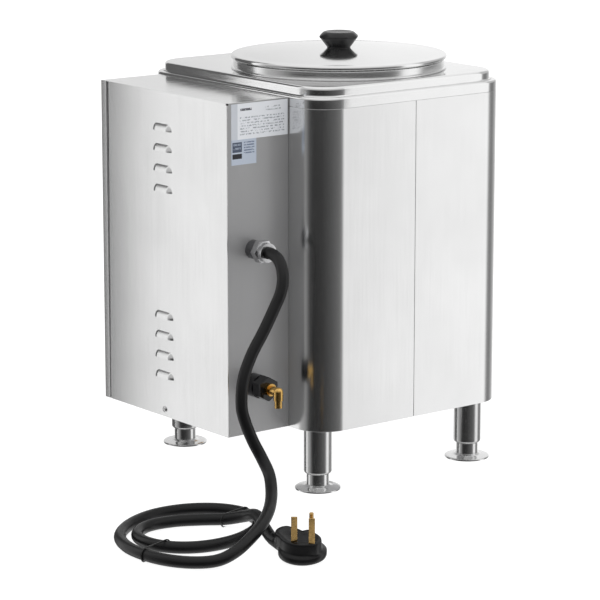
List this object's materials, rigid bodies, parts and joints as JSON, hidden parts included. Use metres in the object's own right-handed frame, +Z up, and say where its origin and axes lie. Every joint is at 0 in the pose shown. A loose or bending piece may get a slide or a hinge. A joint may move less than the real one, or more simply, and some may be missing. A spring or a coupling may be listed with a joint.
{
  "type": "soup kettle",
  "caption": "Electric water-bath soup kettle: square steel casing on legs, round well with lift-out pot and lid, side control box, water inlet and heavy cord.",
  "frame": {"origin": "on the floor under the middle of the kettle's outline, its cord left out", "axes": "+Z up, +Y to the rear where the casing's seam is, +X to the side that carries the control box"},
  "size_m": [0.7434, 0.7754, 0.6494],
  "materials": {
    "casing_steel": "brushed upright",
    "deck_steel": "satin, nearly polished",
    "pot_steel": "satin",
    "leg_steel": "turned satin",
    "screw_steel": "plated",
    "gland_metal": "die cast and plated",
    "black_plastic": "satin moulded",
    "cord_rubber": "matt",
    "tie_wire": "coated wire",
    "brass": "machined",
    "copper": "drawn tube",
    "red_plastic": "moulded",
    "lamp_amber": "clear moulded",
    "ivory_plastic": "moulded",
    "board_green": "coated board",
    "glass_wool": "fibrous",
    "label_white": "printed film, left blank",
    "label_blue": "printed film, left blank"
  },
  "bodies": {
    "kettle": {"body_wrap": "casing_steel", "seam_strip": "casing_steel", "base_pan": "casing_steel", "deck_pan": "deck_steel", "collar_ring": "deck_steel", "water_well": "pot_steel", "well_insulation": "glass_wool", "element_gasket": "cord_rubber", "heating_element": "screw_steel", "element_bolts": "screw_steel", "thermostat_bulb": "copper", "level_probe": "screw_steel", "leg_mounts": "leg_steel", "leg_rear_right": "leg_steel", "leg_rear_left": "leg_steel", "leg_front_right": "leg_steel", "leg_front_left": "leg_steel", "box_chassis": "casing_steel", "box_cover": "casing_steel", "cover_screw": "screw_steel", "control_panel": "casing_steel", "panel_screws": "screw_steel", "thermostat_body": "ivory_plastic", "high_limit_body": "black_plastic", "switch_frame": "black_plastic", "lamp_bodies": "black_plastic", "lamp_lenses": "lamp_amber", "contactor": "black_plastic", "terminal_block": "ivory_plastic", "level_board": "board_green", "solenoid_valve": "black_plastic", "inlet_coupling": "black_plastic", "inlet_fitting": "brass", "fill_tube": "copper", "gland_locknut": "screw_steel", "gland_body": "gland_metal", "gland_nut": "gland_metal", "power_cord": "cord_rubber", "cord_ties": "tie_wire", "plug_body": "cord_rubber", "plug_blades": "brass", "ground_pin": "brass", "rating_plate": "label_white", "notice_plate": "label_blue", "drain_pipe": "screw_steel", "valve_body": "brass"},
    "pot": {"inset_pot": "pot_steel"},
    "lid_set": {"lid": "deck_steel", "lid_knob": "black_plastic", "lid_screw": "screw_steel"},
    "foot_1": {"foot_rear_right": "leg_steel"},
    "foot_2": {"foot_rear_left": "leg_steel"},
    "foot_3": {"foot_front_right": "leg_steel"},
    "foot_4": {"foot_front_left": "leg_steel"},
    "dial": {"temperature_knob": "black_plastic"},
    "rocker": {"switch_rocker": "red_plastic"},
    "reset": {"reset_button": "red_plastic"},
    "drain_cock": {"valve_ball": "screw_steel", "drain_lever": "screw_steel", "lever_grip": "red_plastic"}
  },
  "joints": [
    {"name": "pot_lift", "type": "slide", "parent": "kettle", "child": "pot", "axis": [0, 0, 1], "range_m": [0, 0.42]},
    {"name": "lid_lift", "type": "slide", "parent": "pot", "child": "lid_set", "axis": [0, 0, 1], "range_m": [0, 0.2]},
    {"name": "foot_screw_rear_right", "type": "slide", "parent": "kettle", "child": "foot_1", "axis": [0, 0, -1], "range_m": [0, 0.025]},
    {"name": "foot_screw_rear_left", "type": "slide", "parent": "kettle", "child": "foot_2", "axis": [0, 0, -1], "range_m": [0, 0.025]},
    {"name": "foot_screw_front_right", "type": "slide", "parent": "kettle", "child": "foot_3", "axis": [0, 0, -1], "range_m": [0, 0.025]},
    {"name": "foot_screw_front_left", "type": "slide", "parent": "kettle", "child": "foot_4", "axis": [0, 0, -1], "range_m": [0, 0.025]},
    {"name": "dial_turn", "type": "hinge", "parent": "kettle", "child": "dial", "pos_m": [0.17875, -0.1265, 0.474], "axis": [0, -1, 0], "range_deg": [0, 300]},
    {"name": "rocker_tilt", "type": "hinge", "parent": "kettle", "child": "rocker", "pos_m": [0.17875, -0.1225, 0.379], "axis": [1, 0, 0], "range_deg": [-20, 0]},
    {"name": "reset_press", "type": "slide", "parent": "kettle", "child": "reset", "axis": [0, 1, 0], "range_m": [0, 0.0028], "stiffness_N_per_m": 400, "springref_m": -0.001},
    {"name": "drain_turn", "type": "hinge", "parent": "kettle", "child": "drain_cock", "pos_m": [-0.05725, -0.2005, 0.126], "axis": [0, 0, 1], "range_deg": [0, 90]}
  ]
}
